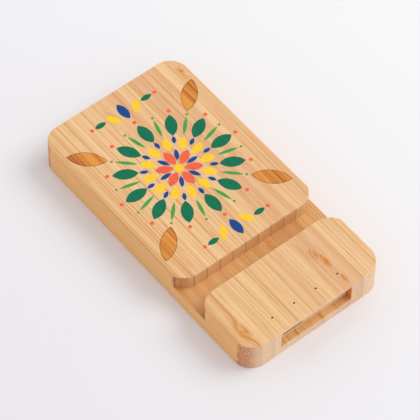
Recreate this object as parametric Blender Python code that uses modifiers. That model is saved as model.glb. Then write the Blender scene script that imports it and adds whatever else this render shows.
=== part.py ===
"""A bamboo power bank that is also a phone stand, with every piece that it comes apart into.

The body is one laminated bamboo block. A slot across its top holds a phone on its edge, the front
end has a recess for the charging plugs, and a cover closes the hollow from below. Metres, +Z up.
The origin is on the table under the middle of the block, and the ports face -Y.
"""
import math

import bmesh
import bpy
from mathutils import Matrix, Vector

# General fits and finishes
fit_gap = 0.0003            # between two pieces that touch
small_fit = 0.00015         # between the small pieces inside a socket
overrun = 0.0010            # how far a cutter runs past the surface that it opens
weld_distance = 0.00001
round_steps = 12            # facets in a quarter turn of a large corner
small_steps = 5             # facets in a quarter turn of a small corner
hole_facets = 24
screw_facets = 20
crease_turn = math.radians(20)

# Bamboo block
body_length = 0.1300
body_width = 0.0676
body_height = 0.0142
corner_radius = 0.0082
edge_round = 0.0004
edge_round_steps = 2

# Phone slot: straight walls that turn away from the phone at both ends
front_block_length = 0.0312
slot_width = 0.0093
slot_depth = 0.0071
flare_radius = 0.0090
flare_overhang = 0.0008     # the curve would end this far outside the block's side

# Port recess in the front end
recess_width = 0.0348
recess_height = 0.0084
recess_depth = 0.0029
lip_thickness = 0.00165
port_wall = 0.0016
port_spacing = 0.0190       # from the middle of one socket to the middle of the other

# Charge lights
light_count = 4
light_pitch = 0.01075
light_from_front = 0.0074
pinhole_diameter = 0.0010
light_length = 0.0016
light_width = 0.0008
light_height = 0.0006
light_side_room = 0.0008

# Hollow and its cover
cover_thickness = 0.0024
rebate_inset = 0.0032
side_wall = 0.0052
rear_wall = 0.0085
pad_skin = 0.0023
slot_wall = 0.0038
pocket_corner = 0.0030
channel_width = 0.0100
channel_height = 0.0024

# Cover screws
cover_screw_side_inset = 0.0083
cover_screw_front_inset = 0.0080
cover_screw_rear_inset = 0.0060
cover_screw_diameter = 0.0020
cover_screw_head = 0.0038
cover_screw_head_height = 0.0011
cover_screw_head_rim = 0.0002
cover_screw_skin = 0.0010   # wood left between a screw's point and the slot's floor
screw_point = 0.0012
pilot_end_gap = 0.0004

# Battery
foam_thickness = 0.0010
foam_inset = 0.0030
foam_corner = 0.0010
tape_thickness = 0.0005
tape_width = 0.0080
tape_side_inset = 0.0080
tape_end_inset = 0.0050
cell_side_gap = 0.0016
cell_edge_radius = 0.0022
cell_end_round = 0.0006
lead_room = 0.0050
terrace_length = 0.0054
terrace_thickness = 0.0008
terrace_side_inset = 0.0030
guard_board_length = 0.0400
guard_board_width = 0.0040
guard_board_thickness = 0.0008
guard_chip_length = 0.0050
guard_chip_width = 0.0024
guard_chip_height = 0.0009
guard_chip_spacing = 0.0150
tab_width = 0.0040
tab_thickness = 0.0003
tab_spacing = 0.0280
tab_reach = 0.0022

# Leads from the battery to the main board
lead_diameter = 0.0012
lead_spacing = 0.0048
lead_pad = 0.0020           # straight run over the board that a lead is soldered to
lead_bend_run = 0.0074
lead_bend_inside = 0.0014   # the part of a bend's run that lies in the channel
lead_bend_steps = 7
lead_straight_steps = 4
lead_curve_resolution = 2

# Main board
board_width = 0.0460
board_thickness = 0.0010
board_corner = 0.0010
light_room = 0.00145        # from the board up to the ceiling over the charge lights
board_screw_inset = 0.0017
board_screw_diameter = 0.0017
board_screw_head = 0.0034
board_screw_head_height = 0.0011
board_screw_head_round = 0.0004
board_screw_skin = 0.0010   # wood left above a board screw's point

# Sockets
socket_recess = 0.0007      # from the recess wall back to a socket's rim
socket_wall = 0.0003
usb_c_width = 0.00894
usb_c_height = 0.0032
usb_c_length = 0.00735
usb_c_corner = 0.00156
usb_c_blade_width = 0.0067
usb_c_blade_thickness = 0.0007
micro_usb_width = 0.0075
micro_usb_height = 0.00245
micro_usb_length = 0.0054
micro_usb_chamfer = 0.0010
micro_usb_blade_width = 0.0037
micro_usb_blade_thickness = 0.0006
blade_setback = 0.0008      # from a socket's rim back to its blade's tip
insert_depth = 0.0018       # depth of the moulded block behind a blade
insert_side_room = 0.0010

# Check button and its switch
button_width = 0.0046
button_height = 0.0022
button_corner = 0.0005
button_proud = 0.0005
button_flange_width = 0.0070
button_flange_thickness = 0.0006
button_travel = 0.0004
switch_width = 0.0046
switch_length = 0.0032
switch_height = 0.0022
switch_gap = 0.0006         # from the plunger's foot to the switch's front
plunger_width = 0.0020
plunger_height = 0.0009
plunger_inside = 0.0008

# Parts under the main board
chip_edge = 0.0001
inductor_size = 0.0060
inductor_height = 0.0030
inductor_corner = 0.0012
inductor_step_inset = 0.0006
inductor_step_height = 0.0004
controller_size = 0.0040
controller_height = 0.0008
controller_pin_width = 0.0003
controller_pin_reach = 0.0001
controller_pins_per_side = 5
controller_pin_pitch = 0.0007
capacitor_length = 0.0020
capacitor_width = 0.0012
capacitor_height = 0.0010
capacitor_count = 6
capacitor_column_pitch = 0.0030
capacitor_row_pitch = 0.0021
resistor_length = 0.0010
resistor_width = 0.0005
resistor_height = 0.00035
resistor_count = 4
resistor_column_pitch = 0.0016
resistor_row_pitch = 0.0011

# Places under the main board, as shares of its half width and of its length
inductor_place_shares = (0.46, 0.55)
controller_place_shares = (-0.04, 0.48)
capacitor_place_shares = (-0.50, 0.62)
resistor_place_shares = (-0.28, 0.83)

# Places along the block, worked out from the sizes
front_y = -body_length / 2
rear_y = body_length / 2
wall_face_y = front_y + recess_depth
bay_front_y = wall_face_y + port_wall
slot_front_y = front_y + front_block_length
slot_rear_y = slot_front_y + slot_width
slot_middle_y = (slot_front_y + slot_rear_y) / 2
bay_rear_y = slot_front_y - slot_wall
pocket_front_y = slot_rear_y + slot_wall
pocket_rear_y = rear_y - rear_wall
pocket_half_width = body_width / 2 - side_wall
board_front_y = bay_front_y + fit_gap
board_rear_y = bay_rear_y - fit_gap
board_length = board_rear_y - board_front_y
light_y = front_y + light_from_front
light_reach = (light_count - 1) / 2 * light_pitch
socket_rim_y = wall_face_y + socket_recess
button_front_y = wall_face_y - button_proud
flange_front_y = bay_front_y + fit_gap
flange_rear_y = flange_front_y + button_flange_thickness
plunger_front_y = flange_rear_y + fit_gap
switch_front_y = plunger_front_y + switch_gap
terrace_front_y = pocket_front_y + lead_room
cell_front_y = terrace_front_y + terrace_length
cell_rear_y = pocket_rear_y - fit_gap
cell_half_width = pocket_half_width - cell_side_gap
guard_rear_y = cell_front_y - fit_gap
guard_front_y = guard_rear_y - guard_board_width
board_screw_x = board_width / 2 - board_screw_inset
board_screw_y = board_front_y + board_length / 2

# Levels, worked out from the sizes
slot_floor_z = body_height - slot_depth
rebate_top_z = cover_thickness + fit_gap
channel_top_z = rebate_top_z + channel_height
pocket_ceiling_z = body_height - pad_skin
bay_ceiling_z = body_height - lip_thickness
recess_floor_z = bay_ceiling_z - recess_height
board_top_z = bay_ceiling_z - light_room
board_low_z = board_top_z - board_thickness
ledge_z = board_top_z + fit_gap
hang_z = board_low_z - fit_gap
button_z = hang_z - switch_height / 2
foam_low_z = cover_thickness + fit_gap
cell_low_z = foam_low_z + foam_thickness + fit_gap
tape_high_z = pocket_ceiling_z - fit_gap
cell_high_z = tape_high_z - tape_thickness - fit_gap
cell_middle_z = (cell_low_z + cell_high_z) / 2
guard_low_z = cell_middle_z + terrace_thickness / 2 + fit_gap
guard_high_z = guard_low_z + guard_board_thickness
cover_screw_top_z = slot_floor_z - cover_screw_skin
board_screw_top_z = body_height - board_screw_skin


def clear_scene():
    """Take every object out of the open file."""
    for old in list(bpy.data.objects):
        bpy.data.objects.remove(old, do_unlink=True)


def make_collection(name):
    group = bpy.data.collections.new(name)
    bpy.context.scene.collection.children.link(group)
    return group


def make_material(name, colour, roughness, metallic=0.0):
    """A plain finish with its colour as linear red, green and blue."""
    material = bpy.data.materials.new(name)
    material.use_nodes = True
    shader = material.node_tree.nodes["Principled BSDF"]
    shader.inputs["Base Color"].default_value = (*colour, 1.0)
    shader.inputs["Roughness"].default_value = roughness
    shader.inputs["Metallic"].default_value = metallic
    material.diffuse_color = (*colour, 1.0)
    return material


def add_object(name, bm, origin, group):
    """Turn a bmesh with its points in world places into an object with the given origin."""
    bmesh.ops.translate(bm, verts=bm.verts[:], vec=-Vector(origin))
    bmesh.ops.recalc_face_normals(bm, faces=bm.faces[:])
    mesh = bpy.data.meshes.new(name)
    bm.to_mesh(mesh)
    bm.free()
    piece = bpy.data.objects.new(name, mesh)
    piece.location = origin
    group.objects.link(piece)
    return piece


def block(name, low, high, group, corner=0.0, along="Z", steps=small_steps, edge=0.0):
    """A box between two corner points, with its edges along one axis and then the rest rounded."""
    low = Vector(low)
    high = Vector(high)
    bm = bmesh.new()
    bmesh.ops.create_cube(bm, size=1)
    bmesh.ops.scale(bm, verts=bm.verts[:], vec=high - low)
    bmesh.ops.translate(bm, verts=bm.verts[:], vec=(low + high) / 2)
    axis = "XYZ".index(along)
    if corner > 0:
        reach = (high - low)[axis] / 2
        upright = [e for e in bm.edges if abs((e.verts[0].co - e.verts[1].co)[axis]) > reach]
        bmesh.ops.bevel(bm, geom=upright, offset=corner, segments=steps, profile=0.5, affect="EDGES",
                        clamp_overlap=True)
    if edge > 0:
        sharp = [e for e in bm.edges if e.calc_face_angle() > crease_turn * 2]
        bmesh.ops.bevel(bm, geom=sharp, offset=edge, segments=edge_round_steps, profile=0.5,
                        affect="EDGES", clamp_overlap=True)
    return add_object(name, bm, (low + high) / 2, group)


def cylinder(name, place, radius, low_z, high_z, group):
    bm = bmesh.new()
    bmesh.ops.create_cone(bm, cap_ends=True, segments=hole_facets, radius1=radius, radius2=radius,
                          depth=high_z - low_z)
    bmesh.ops.translate(bm, verts=bm.verts[:], vec=(place[0], place[1], (low_z + high_z) / 2))
    return add_object(name, bm, (place[0], place[1], low_z), group)


def baked(drawn):
    """Replace a curve, or an object with modifiers, by a plain welded mesh of the same shape."""
    bpy.context.view_layer.update()
    name = drawn.name
    group = drawn.users_collection[0]
    placed = drawn.matrix_world.copy()
    shape = bpy.data.meshes.new_from_object(drawn.evaluated_get(bpy.context.evaluated_depsgraph_get()))
    bpy.data.objects.remove(drawn, do_unlink=True)
    bm = bmesh.new()
    bm.from_mesh(shape)
    bpy.data.meshes.remove(shape)
    bmesh.ops.remove_doubles(bm, verts=bm.verts[:], dist=weld_distance)
    bmesh.ops.transform(bm, matrix=placed, verts=bm.verts[:])
    return add_object(name, bm, placed.translation, group)


def turned(name, profile, place, group):
    """A solid turned about a vertical axis from a profile that runs down its outer side."""
    mesh = bpy.data.meshes.new(name)
    mesh.from_pydata([(r, 0, z) for r, z in profile], [(i, i + 1) for i in range(len(profile) - 1)], [])
    drawn = bpy.data.objects.new(name, mesh)
    drawn.location = (place[0], place[1], 0)
    group.objects.link(drawn)
    spin = drawn.modifiers.new("turn", "SCREW")
    spin.axis = "Z"
    spin.steps = screw_facets
    spin.render_steps = screw_facets
    spin.use_merge_vertices = True
    spin.merge_threshold = weld_distance
    return baked(drawn)


def prism(name, outline, low_y, high_y, group):
    """A prism along Y whose outline is given in x and z, from a filled flat curve."""
    curve = bpy.data.curves.new(name, "CURVE")
    curve.dimensions = "2D"
    curve.fill_mode = "BOTH"
    curve.extrude = (high_y - low_y) / 2
    spline = curve.splines.new("POLY")
    spline.points.add(len(outline) - 1)
    spline.use_cyclic_u = True
    for point, (x, z) in zip(spline.points, outline):
        point.co = (x, z, 0, 1)
    drawn = bpy.data.objects.new(name, curve)
    stood_up = Matrix.Rotation(math.radians(90), 4, "X")
    drawn.matrix_world = Matrix.Translation((0, (low_y + high_y) / 2, 0)) @ stood_up
    group.objects.link(drawn)
    return baked(drawn)


def copies(first, names, places, group):
    """The first piece under its own name, and others at their places that share its mesh."""
    first.name = names[0]
    found = [first]
    for name, place in zip(names[1:], places[1:]):
        twin = bpy.data.objects.new(name, first.data)
        twin.location = Vector((place[0], place[1], first.location.z))
        group.objects.link(twin)
        found.append(twin)
    return found


def combine(target, tool, operation):
    step = target.modifiers.new(tool.name, "BOOLEAN")
    step.operation = operation
    step.solver = "EXACT"
    step.object = tool


def cut(target, tool):
    combine(target, tool, "DIFFERENCE")


def as_tool(tool):
    """Mark a shape that only cuts or adds to a piece."""
    tool.hide_render = True
    tool.display_type = "WIRE"
    return tool


def cup(piece):
    """Make a closed block into a socket's shell: open its front end and give the rest a wall."""
    bm = bmesh.new()
    bm.from_mesh(piece.data)
    front = min(bm.faces, key=lambda face: face.calc_center_median().y)
    bmesh.ops.delete(bm, geom=[front], context="FACES")
    bm.to_mesh(piece.data)
    bm.free()
    wall = piece.modifiers.new("wall", "SOLIDIFY")
    wall.thickness = socket_wall
    wall.offset = -1
    wall.use_even_offset = True
    return piece


def finish(piece, material, parent):
    """Give a piece its material, its parent and smooth rounds between sharp creases."""
    mesh = piece.data
    mesh.materials.clear()
    mesh.materials.append(material)
    mesh.shade_smooth()
    mesh.set_sharp_from_angle(angle=crease_turn)
    piece.parent = parent
    piece.location -= parent.location


def round_outer_edges(piece):
    """Break the outer edges of the milled block, and leave its inner corners crisp."""
    bm = bmesh.new()
    bm.from_mesh(piece.data)
    sharp = [e for e in bm.edges if e.is_manifold and e.calc_face_angle_signed() > crease_turn]
    bmesh.ops.bevel(bm, geom=sharp, offset=edge_round, segments=edge_round_steps, profile=0.5,
                    affect="EDGES", clamp_overlap=True)
    bm.to_mesh(piece.data)
    bm.free()


def phone_slot(tools):
    """The slot is a band across the block, less the two raised parts that stand beside it."""
    half = body_width / 2 + flare_overhang
    high_z = body_height + overrun
    low_z = slot_floor_z - overrun
    band = block("slot_band", (-half - overrun, slot_front_y - flare_radius, slot_floor_z),
                 (half + overrun, slot_rear_y + flare_radius, high_z), tools)
    front_part = block("slot_front_part", (-half, front_y - overrun, low_z),
                       (half, slot_front_y, high_z + overrun), tools, corner=flare_radius,
                       steps=round_steps)
    pad_part = block("slot_pad_part", (-half, slot_rear_y, low_z), (half, rear_y + overrun, high_z + overrun),
                     tools, corner=flare_radius, steps=round_steps)
    cut(band, as_tool(front_part))
    cut(band, as_tool(pad_part))
    return as_tool(baked(band))


def hollow(tools):
    """Everything that is milled into the block from below."""
    rebate_half = body_width / 2 - rebate_inset
    bay_half = board_width / 2 + fit_gap
    lights_half = light_reach + light_length / 2 + light_side_room
    channel_half = channel_width / 2
    return [
        block("rebate", (-rebate_half, front_y + rebate_inset, -overrun),
              (rebate_half, rear_y - rebate_inset, rebate_top_z), tools,
              corner=corner_radius - rebate_inset, steps=round_steps),
        block("battery_pocket", (-pocket_half_width, pocket_front_y, -overrun),
              (pocket_half_width, pocket_rear_y, pocket_ceiling_z), tools, corner=pocket_corner),
        block("board_bay", (-bay_half, bay_front_y, -overrun), (bay_half, bay_rear_y, ledge_z), tools,
              corner=board_corner),
        block("light_bay", (-lights_half, bay_front_y, -overrun), (lights_half, bay_rear_y, bay_ceiling_z),
              tools, corner=board_corner),
        block("lead_channel", (-channel_half, bay_rear_y - overrun, -overrun),
              (channel_half, pocket_front_y + overrun, channel_top_z), tools),
    ]


def wall_window(name, centre_x, low_z, width, height, corner, tools):
    """A window through the recess wall, with a fit gap all round what comes through it."""
    half = width / 2 + fit_gap
    return block(name, (centre_x - half, wall_face_y - overrun, low_z - fit_gap),
                 (centre_x + half, bay_front_y + overrun, low_z + height + fit_gap), tools,
                 corner=corner + fit_gap, along="Y")


def front_openings(tools):
    """The recess for the plugs, and the windows of the two sockets and the button."""
    return [
        block("port_recess", (-recess_width / 2, front_y - overrun, recess_floor_z),
              (recess_width / 2, wall_face_y, bay_ceiling_z), tools),
        wall_window("usb_c_window", -port_spacing / 2, hang_z - usb_c_height, usb_c_width, usb_c_height,
                    usb_c_corner, tools),
        wall_window("micro_usb_window", port_spacing / 2, hang_z - micro_usb_height, micro_usb_width,
                    micro_usb_height, 0, tools),
        wall_window("button_window", 0, button_z - button_height / 2, button_width, button_height,
                    button_corner, tools),
    ]


def cover_screw_places():
    x = body_width / 2 - cover_screw_side_inset
    rows = (front_y + cover_screw_front_inset, slot_middle_y, rear_y - cover_screw_rear_inset)
    return [(side * x, y) for y in rows for side in (-1, 1)]


def board_screw_places():
    return [(side * board_screw_x, board_screw_y) for side in (-1, 1)]


def light_places():
    return [(i * light_pitch - light_reach, light_y) for i in range(light_count)]


def drilled_holes(tools):
    """Pinholes over the charge lights, and the pilot holes of the screws."""
    holes = []
    for i, place in enumerate(light_places()):
        holes.append(cylinder(f"pinhole_{i}", place, pinhole_diameter / 2, bay_ceiling_z - overrun,
                              body_height + overrun, tools))
    for i, place in enumerate(cover_screw_places()):
        holes.append(cylinder(f"cover_screw_pilot_{i}", place, cover_screw_diameter / 2 + fit_gap,
                              rebate_top_z - overrun, cover_screw_top_z + pilot_end_gap, tools))
    for i, place in enumerate(board_screw_places()):
        holes.append(cylinder(f"board_screw_pilot_{i}", place, board_screw_diameter / 2 + fit_gap,
                              ledge_z - overrun, board_screw_top_z + pilot_end_gap, tools))
    return holes


def bamboo_body(pieces, tools):
    """The block: a rounded slab, its slot, its broken edges, then the hollow, ports and holes."""
    body = block("bamboo_body", (-body_width / 2, front_y, 0), (body_width / 2, rear_y, body_height),
                 pieces, corner=corner_radius, steps=round_steps)
    cut(body, phone_slot(tools))
    body = baked(body)
    round_outer_edges(body)
    for tool in hollow(tools) + front_openings(tools) + drilled_holes(tools):
        cut(body, as_tool(tool))
    return body


def countersunk_profile(gap, top_z, low_z):
    """Outer side of a screw whose head lies flush below, or of the hole that clears it."""
    rim = cover_screw_head / 2 + gap
    shank = cover_screw_diameter / 2 + gap
    return [(shank, top_z), (shank, cover_screw_head_height + gap), (rim, cover_screw_head_rim + gap),
            (rim, low_z), (0, low_z)]


def bottom_cover(pieces, tools):
    inset = rebate_inset + fit_gap
    half = body_width / 2 - inset
    cover = block("bottom_cover", (-half, front_y + inset, 0), (half, rear_y - inset, cover_thickness),
                  pieces, corner=corner_radius - inset, steps=round_steps)
    top_z = cover_thickness + overrun
    profile = [(0, top_z)] + countersunk_profile(fit_gap, top_z, -overrun)
    for i, place in enumerate(cover_screw_places()):
        cut(cover, as_tool(turned(f"countersink_{i}", profile, place, tools)))
    return cover


def cover_screws(pieces):
    """Six countersunk wood screws, their heads flush with the cover's underside."""
    shoulder_z = cover_screw_top_z - screw_point
    profile = [(0, cover_screw_top_z)] + countersunk_profile(0, shoulder_z, 0)
    places = cover_screw_places()
    names = [f"cover_screw_{row}_{side}" for row in ("front", "middle", "rear") for side in ("left", "right")]
    return copies(turned("screw", profile, places[0], pieces), names, places, pieces)


def board_screws(pieces):
    """Two pan head screws that hold the main board up against its ledges."""
    head = board_screw_head / 2
    shank = board_screw_diameter / 2
    low_z = hang_z - board_screw_head_height
    profile = [(0, board_screw_top_z), (shank, board_screw_top_z - screw_point), (shank, hang_z),
               (head, hang_z), (head, low_z + board_screw_head_round),
               (head - board_screw_head_round, low_z), (0, low_z)]
    places = board_screw_places()
    names = ("board_screw_left", "board_screw_right")
    return copies(turned("screw", profile, places[0], pieces), names, places, pieces)


def battery_cell(pieces, tools):
    """The flat pouch, with its thin sealed end that faces the slot."""
    cell = block("battery_cell", (-cell_half_width, cell_front_y, cell_low_z),
                 (cell_half_width, cell_rear_y, cell_high_z), pieces, corner=cell_edge_radius, along="Y",
                 edge=cell_end_round)
    half = cell_half_width - terrace_side_inset
    low_z = cell_middle_z - terrace_thickness / 2
    terrace = block("cell_terrace", (-half, terrace_front_y, low_z),
                    (half, cell_front_y + terrace_length, low_z + terrace_thickness), tools)
    combine(cell, as_tool(terrace), "UNION")
    return cell


def cell_protection_board(pieces):
    return block("cell_protection_board", (-guard_board_length / 2, guard_front_y, guard_low_z),
                 (guard_board_length / 2, guard_rear_y, guard_high_z), pieces, corner=chip_edge)


def protection_chips(pieces):
    """The protection board's two chips, one on each side of the leads."""
    low_z = guard_high_z + fit_gap
    x = guard_chip_spacing / 2
    y = (guard_front_y + guard_rear_y) / 2
    low = Vector((-x - guard_chip_length / 2, y - guard_chip_width / 2, low_z))
    size = Vector((guard_chip_length, guard_chip_width, guard_chip_height))
    first = block("chip", low, low + size, pieces, corner=chip_edge)
    names = ("protection_chip_left", "protection_chip_right")
    return copies(first, names, [(-x, y), (x, y)], pieces)


def cell_tabs(pieces):
    """Two thin metal strips, up from the sealed end and back over the protection board."""
    upright_y = terrace_front_y - fit_gap - tab_thickness / 2
    low_z = cell_middle_z - terrace_thickness / 2
    top_z = guard_high_z + fit_gap + tab_thickness / 2
    side_view = [(upright_y, low_z), (upright_y, top_z), (upright_y + tab_reach, top_z)]
    centre = -tab_spacing / 2
    bm = bmesh.new()
    near = [bm.verts.new((centre - tab_width / 2, y, z)) for y, z in side_view]
    strip = [bm.edges.new(pair) for pair in zip(near, near[1:])]
    swept = bmesh.ops.extrude_edge_only(bm, edges=strip)["geom"]
    far = [found for found in swept if isinstance(found, bmesh.types.BMVert)]
    bmesh.ops.translate(bm, verts=far, vec=(tab_width, 0, 0))
    tab = add_object("tab", bm, (centre, upright_y, low_z), pieces)
    wall = tab.modifiers.new("wall", "SOLIDIFY")
    wall.thickness = tab_thickness
    wall.offset = 0
    wall.use_even_offset = True
    names = ("cell_tab_left", "cell_tab_right")
    return copies(baked(tab), names, [(centre, upright_y), (-centre, upright_y)], pieces)


def cell_foam_pad(pieces):
    half = cell_half_width - foam_inset
    return block("cell_foam_pad", (-half, cell_front_y + foam_inset, foam_low_z),
                 (half, cell_rear_y - foam_inset, foam_low_z + foam_thickness), pieces,
                 corner=foam_corner)


def mounting_tapes(pieces):
    """Two strips of foam tape that stick the cell to the ceiling of its pocket."""
    outer_x = cell_half_width - tape_side_inset
    low = (-outer_x, cell_front_y + tape_end_inset, tape_high_z - tape_thickness)
    high = (tape_width - outer_x, cell_rear_y - tape_end_inset, tape_high_z)
    first = block("tape", low, high, pieces)
    names = ("mounting_tape_left", "mounting_tape_right")
    x, y = first.location.x, first.location.y
    return copies(first, names, [(x, y), (-x, y)], pieces)


def eased(share):
    """Zero to one along half a cosine wave, so that a wire leaves and arrives level."""
    return (1 - math.cos(math.pi * share)) / 2


def lead_route():
    """Side view of a lead: off the protection board, down, under the slot and up to the main board."""
    radius = lead_diameter / 2
    start_z = guard_high_z + fit_gap + radius
    low_z = cover_thickness + fit_gap + radius
    end_z = hang_z - radius
    down_y = pocket_front_y + lead_bend_run - lead_bend_inside
    up_y = bay_rear_y + lead_bend_inside
    route = [(down_y + lead_pad, start_z)]
    for i in range(lead_bend_steps + 1):
        share = i / lead_bend_steps
        route.append((down_y - share * lead_bend_run, start_z + (low_z - start_z) * eased(share)))
    flat_y = down_y - lead_bend_run
    for i in range(1, lead_straight_steps):
        route.append((flat_y + (up_y - flat_y) * i / lead_straight_steps, low_z))
    for i in range(lead_bend_steps + 1):
        share = i / lead_bend_steps
        route.append((up_y - share * lead_bend_run, low_z + (end_z - low_z) * eased(share)))
    return route + [(up_y - lead_bend_run - lead_pad, end_z)]


def lead(name, side, pieces):
    curve = bpy.data.curves.new(name, "CURVE")
    curve.dimensions = "3D"
    curve.bevel_depth = lead_diameter / 2
    curve.bevel_resolution = lead_curve_resolution
    curve.use_fill_caps = True
    route = lead_route()
    spline = curve.splines.new("POLY")
    spline.points.add(len(route) - 1)
    for point, (y, z) in zip(spline.points, route):
        point.co = (0, y, z, 1)
    drawn = bpy.data.objects.new(name, curve)
    drawn.location = (side * lead_spacing / 2, 0, 0)
    pieces.objects.link(drawn)
    return baked(drawn)


def main_board(pieces, tools):
    board = block("main_board", (-board_width / 2, board_front_y, board_low_z),
                  (board_width / 2, board_rear_y, board_top_z), pieces, corner=board_corner)
    for i, place in enumerate(board_screw_places()):
        hole = cylinder(f"board_screw_hole_{i}", place, board_screw_diameter / 2 + fit_gap,
                        board_low_z - overrun, board_top_z + overrun, tools)
        cut(board, as_tool(hole))
    return board


def usb_c_shell(pieces):
    x = -port_spacing / 2
    shell = block("usb_c_shell", (x - usb_c_width / 2, socket_rim_y, hang_z - usb_c_height),
                  (x + usb_c_width / 2, socket_rim_y + usb_c_length, hang_z), pieces,
                  corner=usb_c_corner, along="Y")
    return cup(shell)


def micro_usb_shell(pieces):
    """The second socket's shell, narrower along its lower side so that a plug fits only one way."""
    left = port_spacing / 2 - micro_usb_width / 2
    right = port_spacing / 2 + micro_usb_width / 2
    low_z = hang_z - micro_usb_height
    outline = [(left + micro_usb_chamfer, low_z), (right - micro_usb_chamfer, low_z),
               (right, low_z + micro_usb_chamfer), (right, hang_z), (left, hang_z),
               (left, low_z + micro_usb_chamfer)]
    return cup(prism("micro_usb_shell", outline, socket_rim_y, socket_rim_y + micro_usb_length, pieces))


def tongue(name, x, shell_size, blade_size, pieces, tools):
    """A socket's moulded insert: a block at the back of the shell that carries a thin blade."""
    width, height, length = shell_size
    blade_width, blade_thickness = blade_size
    gap = socket_wall + small_fit
    back_y = socket_rim_y + length - gap
    half = width / 2 - gap - insert_side_room
    insert = block(name, (x - half, back_y - insert_depth, hang_z - height + gap),
                   (x + half, back_y, hang_z - gap), pieces, corner=chip_edge, along="Y")
    low_z = hang_z - height / 2 - blade_thickness / 2
    blade = block(name + "_blade", (x - blade_width / 2, socket_rim_y + blade_setback, low_z),
                  (x + blade_width / 2, back_y - insert_depth / 2, low_z + blade_thickness), tools,
                  corner=chip_edge, along="Y")
    combine(insert, as_tool(blade), "UNION")
    return insert


def usb_c_tongue(pieces, tools):
    return tongue("usb_c_tongue", -port_spacing / 2, (usb_c_width, usb_c_height, usb_c_length),
                  (usb_c_blade_width, usb_c_blade_thickness), pieces, tools)


def micro_usb_tongue(pieces, tools):
    return tongue("micro_usb_tongue", port_spacing / 2,
                  (micro_usb_width, micro_usb_height, micro_usb_length),
                  (micro_usb_blade_width, micro_usb_blade_thickness), pieces, tools)


def charge_leds(pieces):
    """Four small lights on the board's upper face, one under each pinhole."""
    low_z = board_top_z + fit_gap
    places = light_places()
    x, y = places[0]
    first = block("light", (x - light_length / 2, y - light_width / 2, low_z),
                  (x + light_length / 2, y + light_width / 2, low_z + light_height), pieces, edge=chip_edge)
    names = [f"charge_led_{i + 1}" for i in range(light_count)]
    return copies(first, names, places, pieces)


def button_cap(pieces, tools):
    """The cap that a fingertip presses, with ears behind the recess wall that keep it in."""
    low_z = button_z - button_height / 2
    high_z = button_z + button_height / 2
    cap = block("button_cap", (-button_width / 2, button_front_y, low_z),
                (button_width / 2, flange_rear_y, high_z), pieces, corner=button_corner, along="Y")
    ears = block("button_ears", (-button_flange_width / 2, flange_front_y, low_z),
                 (button_flange_width / 2, flange_rear_y, high_z), tools, corner=button_corner, along="Y")
    combine(cap, as_tool(ears), "UNION")
    return cap


def switch_housing(pieces, tools):
    """The push switch under the board, with the pocket that its plunger slides in."""
    housing = block("switch_housing", (-switch_width / 2, switch_front_y, hang_z - switch_height),
                    (switch_width / 2, switch_front_y + switch_length, hang_z), pieces, corner=chip_edge)
    half = plunger_width / 2 + fit_gap
    low_z = button_z - plunger_height / 2 - fit_gap
    high_z = button_z + plunger_height / 2 + fit_gap
    pocket = block("switch_pocket", (-half, switch_front_y - overrun, low_z),
                   (half, switch_front_y + plunger_inside + button_travel + fit_gap, high_z), tools)
    cut(housing, as_tool(pocket))
    return housing


def switch_plunger(pieces):
    return block("switch_plunger", (-plunger_width / 2, plunger_front_y, button_z - plunger_height / 2),
                 (plunger_width / 2, switch_front_y + plunger_inside, button_z + plunger_height / 2),
                 pieces, corner=chip_edge, along="Y")


def board_place(shares):
    """A point of the board from a share of its half width and a share of its length."""
    return shares[0] * board_width / 2, board_front_y + shares[1] * board_length


def power_inductor(pieces, tools):
    """A shielded coil: a square ferrite body with a smaller step on its free face."""
    x, y = board_place(inductor_place_shares)
    half = inductor_size / 2
    low_z = hang_z - inductor_height
    body = block("power_inductor", (x - half, y - half, low_z), (x + half, y + half, hang_z), pieces,
                 corner=inductor_corner)
    inner = half - inductor_step_inset
    step = block("inductor_step", (x - inner, y - inner, low_z - inductor_step_height),
                 (x + inner, y + inner, low_z + inductor_step_height), tools, corner=inductor_corner)
    combine(body, as_tool(step), "UNION")
    return body


def charge_controller(pieces, tools):
    """A flat chip with a row of pin ends on each of two sides."""
    x, y = board_place(controller_place_shares)
    half = controller_size / 2
    chip = block("charge_controller", (x - half, y - half, hang_z - controller_height),
                 (x + half, y + half, hang_z - chip_edge), pieces, corner=chip_edge)
    reach = half + controller_pin_reach
    pin_low_z = hang_z - controller_height / 2
    pin_half = controller_pin_width / 2
    for i in range(controller_pins_per_side):
        pin_y = y + (i - (controller_pins_per_side - 1) / 2) * controller_pin_pitch
        pins = block(f"controller_pins_{i}", (x - reach, pin_y - pin_half, pin_low_z),
                     (x + reach, pin_y + pin_half, hang_z), tools)
        combine(chip, as_tool(pins), "UNION")
    return chip


def chip_rows(name, shares, count, pitches, size, pieces):
    """Small parts of one kind under the board, in rows of two."""
    x, y = board_place(shares)
    places = [(x + (i % 2 - 1 / 2) * pitches[0], y + (i // 2) * pitches[1]) for i in range(count)]
    length, width, height = size
    low = Vector((places[0][0] - length / 2, places[0][1] - width / 2, hang_z - height))
    first = block(name, low, low + Vector(size), pieces, edge=chip_edge / 2)
    return copies(first, [f"{name}_{i + 1}" for i in range(count)], places, pieces)


def capacitors(pieces):
    return chip_rows("capacitor", capacitor_place_shares, capacitor_count,
                     (capacitor_column_pitch, capacitor_row_pitch),
                     (capacitor_length, capacitor_width, capacitor_height), pieces)


def resistors(pieces):
    return chip_rows("resistor", resistor_place_shares, resistor_count,
                     (resistor_column_pitch, resistor_row_pitch),
                     (resistor_length, resistor_width, resistor_height), pieces)


def add_empty(name, place, group):
    empty = bpy.data.objects.new(name, None)
    empty.location = place
    group.objects.link(empty)
    return empty


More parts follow.
